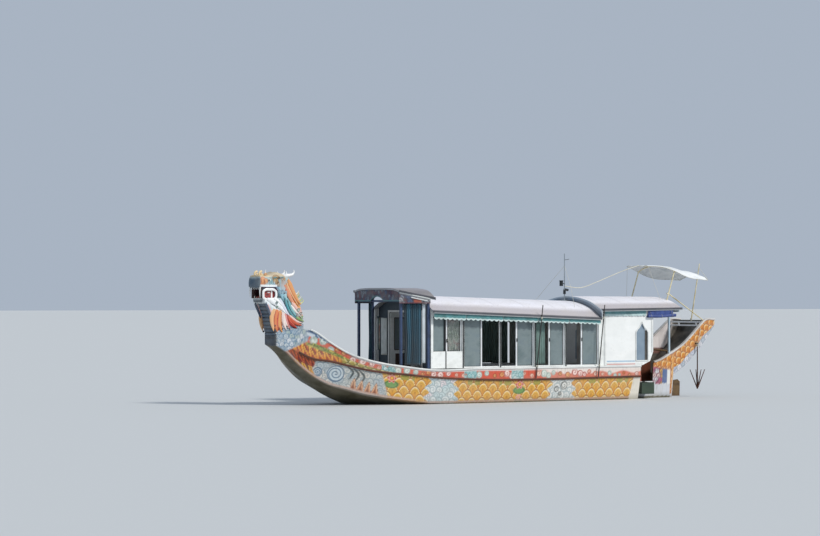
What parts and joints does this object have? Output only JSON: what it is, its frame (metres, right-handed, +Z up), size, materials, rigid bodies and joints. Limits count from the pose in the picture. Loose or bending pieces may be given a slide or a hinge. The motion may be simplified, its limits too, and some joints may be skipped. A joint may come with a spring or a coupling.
{
  "type": "river dragon boat",
  "caption": "Covered river tour boat with a carved dragon head on its bow, a glazed cabin under arched roofs, an open helm and a raised tail.",
  "frame": {"origin": "on the centre line at the waterline, near mid-length of the cabin", "axes": "+X to the bow, +Y to port, +Z up"},
  "size_m": [13.025, 2.9436, 4.06],
  "materials": {
    "hull_paint": "painted scales, chalky gloss",
    "board_paint": "white boat enamel, weathered",
    "deck_boards": "worn deck boards",
    "rail_paint": "white enamel",
    "strake_wood": "dark stained timber",
    "dragon_paint": "bright enamel on sheet metal",
    "horn_white": "white enamel",
    "tongue_red": "red enamel",
    "porch_blue": "dark blue enamel",
    "fascia_paint": "painted ornament",
    "roof_sheet": "painted roof sheet, dusty",
    "frame_alu": "white coated aluminium",
    "door_paint": "pale blue enamel",
    "valance_cloth": "teal cloth",
    "tarp_blue": "woven blue sheet",
    "awning_cloth": "white coated cloth",
    "locker_wood": "red-brown painted timber",
    "engine_iron": "oily cast iron",
    "bench_wood": "varnished boards",
    "tank_paint": "dark green enamel",
    "dark_steel": "dark painted steel",
    "bronze": "cast bronze",
    "rudder_wood": "rusty brown painted timber",
    "pole_bamboo": "pale weathered poles",
    "mast_metal": "dull tube",
    "anchor_iron": "black iron",
    "pole_dark": "dark weathered bamboo"
  },
  "bodies": {
    "root": {"hull_shell": "hull_paint", "cabin_floor": "deck_boards", "foredeck": "deck_boards", "bow_deck": "deck_boards", "gunwale_port": "rail_paint", "gunwale_starboard": "rail_paint", "rub_strake_port": "strake_wood", "rub_strake_starboard": "strake_wood", "stern_shell": "hull_paint", "stern_floor": "deck_boards", "dragon_neck": "dragon_paint", "dragon_jaw": "dragon_paint", "dragon_head": "dragon_paint", "tongue": "tongue_red", "horn_port": "horn_white", "horn_starboard": "horn_white", "beard_port": "dragon_paint", "beard_starboard": "dragon_paint", "mane_crest": "dragon_paint", "porch_frame": "porch_blue", "porch_fascia": "fascia_paint", "porch_roof": "roof_sheet", "main_roof": "roof_sheet", "aft_roof": "roof_sheet", "cabin_side_port": "board_paint", "cabin_side_starboard": "board_paint", "sashes_port": "frame_alu", "sashes_starboard": "frame_alu", "front_bulkhead": "door_paint", "aft_bulkhead": "door_paint", "helm_side_port": "board_paint", "helm_side_starboard": "board_paint", "valance_port": "valance_cloth", "valance_starboard": "valance_cloth", "tail_cap_port": "rail_paint", "tail_cap_starboard": "rail_paint", "aft_frame": "door_paint", "tarp_roll": "tarp_blue", "helm_locker": "locker_wood", "engine_block": "engine_iron", "bench_port": "bench_wood", "bench_starboard": "bench_wood", "stern_rail": "rail_paint", "fuel_tank": "tank_paint", "skeg": "dark_steel", "stern_tube": "dark_steel", "awning_frame": "pole_bamboo", "awning_sheet": "awning_cloth", "mast": "mast_metal", "anchor": "anchor_iron", "side_pole_fore": "pole_dark", "side_pole_aft": "pole_dark"},
    "rudder": {"rudder": "rudder_wood"},
    "propeller": {"propeller": "bronze"},
    "door_port": {"cabin_door_port": "door_paint"},
    "door_starboard": {"cabin_door_starboard": "door_paint"},
    "locker_lid": {"locker_lid": "locker_wood"}
  },
  "joints": [
    {"name": "rudder_turn", "type": "hinge", "parent": "root", "child": "rudder", "pos_m": [-5.72, 0, 0], "axis": [0, 0, 1], "range_deg": [-35, 35]},
    {"name": "propeller_spin", "type": "hinge", "parent": "root", "child": "propeller", "pos_m": [-5.42, 0, -0.215], "axis": [1, 0, 0], "continuous": true},
    {"name": "door_port_swing", "type": "hinge", "parent": "root", "child": "door_port", "pos_m": [2.185, 0.705, 0], "axis": [0, 0, 1], "range_deg": [0, 90]},
    {"name": "door_starboard_swing", "type": "hinge", "parent": "root", "child": "door_starboard", "pos_m": [2.185, -0.705, 0], "axis": [0, 0, -1], "range_deg": [0, 90]},
    {"name": "locker_lid_hinge", "type": "hinge", "parent": "root", "child": "locker_lid", "pos_m": [-4.38, 0, 1.2403], "axis": [0, 1, 0], "range_deg": [0, 85]}
  ]
}
